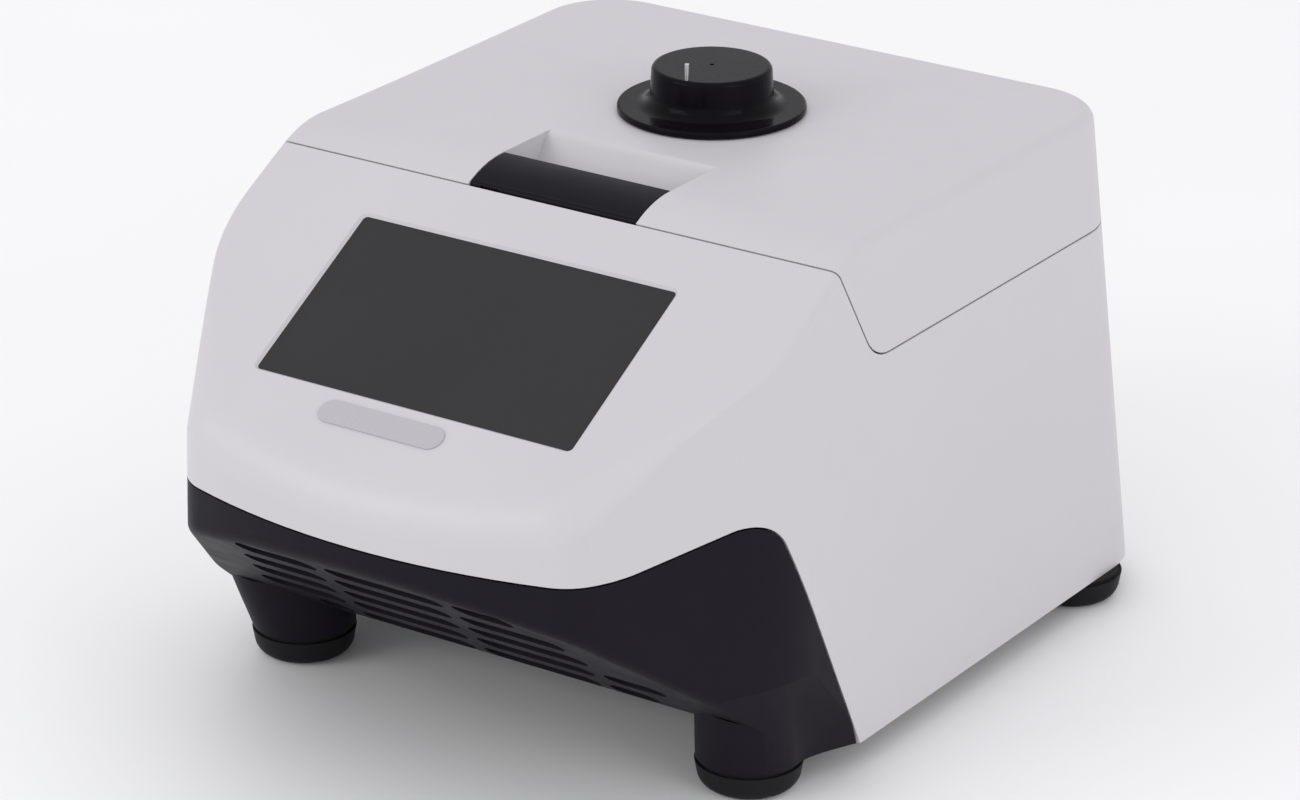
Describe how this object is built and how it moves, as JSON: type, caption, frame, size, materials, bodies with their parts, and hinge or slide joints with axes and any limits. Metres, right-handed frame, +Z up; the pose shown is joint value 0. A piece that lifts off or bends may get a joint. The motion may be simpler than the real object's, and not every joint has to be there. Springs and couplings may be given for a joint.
{
  "type": "gradient thermal cycler",
  "caption": "Bench-top thermal cycler with a sloping touch screen, hinged heated lid, pressure knob and lid latch on rubber feet.",
  "frame": {"origin": "on the table below the middle of the instrument's footprint", "axes": "+X to the user's right, +Y towards the back, +Z up"},
  "size_m": [0.3024, 0.3908, 0.2516],
  "materials": {
    "white_case": "satin",
    "black_case": "satin",
    "inner_white": "satin",
    "black_plastic": "matte",
    "knob_black": "gloss",
    "handle_black": "satin",
    "badge_grey": "satin",
    "screen": "matte glass",
    "rubber_black": "matte",
    "anodised": "fine blasted",
    "sink_aluminium": "mill",
    "hot_plate_metal": "brushed",
    "sheet_steel": "zinc plated",
    "steel_part": "polished",
    "brass": "turned",
    "ceramic_white": "matte",
    "board_green": "satin",
    "part_dark": "satin",
    "mat_orange": "matte",
    "foam_grey": "matte",
    "switch_black": "satin"
  },
  "bodies": {
    "root": {"main_casing": "white_case", "front_base": "black_case", "base_plate": "sheet_steel", "deck_cover": "inner_white", "base_screws": "steel_part", "deck_screws": "steel_part", "rear_screws": "steel_part", "foot_front_left": "rubber_black", "foot_front_right": "rubber_black", "foot_rear_left": "rubber_black", "foot_rear_right": "rubber_black", "foot_screws": "steel_part", "foot_spacers": "black_plastic", "sample_block": "anodised", "peltier_modules": "ceramic_white", "block_surround": "black_plastic", "heat_sink": "sink_aluminium", "sink_frames": "sheet_steel", "fan_duct": "black_plastic", "fan_frame_left": "black_plastic", "fan_frame_right": "black_plastic", "power_supply": "sheet_steel", "supply_parts": "part_dark", "main_board": "board_green", "board_standoffs": "brass", "board_parts": "part_dark", "touch_glass": "screen", "display_module": "part_dark", "display_bracket": "sheet_steel", "badge_plate": "badge_grey", "rear_panel": "sheet_steel", "power_inlet": "switch_black", "inlet_pins": "steel_part", "fuse_drawer": "switch_black", "data_port": "steel_part", "switch_housing": "switch_black", "hinge_brackets": "steel_part", "hinge_pins": "steel_part", "latch_striker": "steel_part"},
    "lid": {"lid_cover": "white_case", "lid_tray": "inner_white", "tray_screws": "steel_part", "hinge_leaves": "steel_part", "latch_pin": "steel_part", "latch_spring": "steel_part", "spindle_bush": "brass", "guide_posts": "steel_part"},
    "latch": {"latch_handle": "handle_black", "latch_hook": "steel_part"},
    "knob": {"knob": "knob_black", "knob_pin": "steel_part", "spindle": "steel_part"},
    "heated_plate": {"hot_plate": "hot_plate_metal", "heater_mat": "mat_orange", "plate_insulation": "foam_grey", "plate_carrier": "sheet_steel", "spindle_nut": "brass"},
    "fan_left": {"fan_rotor_left": "black_plastic"},
    "fan_right": {"fan_rotor_right": "black_plastic"},
    "rocker": {"power_rocker": "switch_black"}
  },
  "joints": [
    {"name": "lid_hinge", "type": "hinge", "parent": "root", "child": "lid", "pos_m": [0, 0.17626, 0.17362], "axis": [-1, 0, 0], "range_deg": [0, 75]},
    {"name": "latch_pivot", "type": "hinge", "parent": "lid", "child": "latch", "pos_m": [0, -0.05372, 0.21765], "axis": [1, 0, 0], "range_deg": [0, 14], "stiffness_Nm_per_rad": 0.2, "springref_deg": -5.73},
    {"name": "knob_turn", "type": "hinge", "parent": "lid", "child": "knob", "pos_m": [0, 0.0607, 0.225], "axis": [0, 0, -1], "range_deg": [0, 720]},
    {"name": "plate_slide", "type": "slide", "parent": "lid", "child": "heated_plate", "axis": [0, 0, -1], "range_m": [0, 0.008]},
    {"name": "fan_left_spin", "type": "hinge", "parent": "root", "child": "fan_left", "pos_m": [-0.032, -0.027, 0.118], "axis": [0, 1, 0], "continuous": true},
    {"name": "fan_right_spin", "type": "hinge", "parent": "root", "child": "fan_right", "pos_m": [0.032, -0.027, 0.118], "axis": [0, 1, 0], "continuous": true},
    {"name": "rocker_tip", "type": "hinge", "parent": "root", "child": "rocker", "pos_m": [0.008, 0.18055, 0.07513], "axis": [1, 0, 0], "range_deg": [0, 20]}
  ],
  "couplings": [
    {"joint": "knob_turn", "follows": "plate_slide", "rad_per_m": 1570.8}
  ]
}
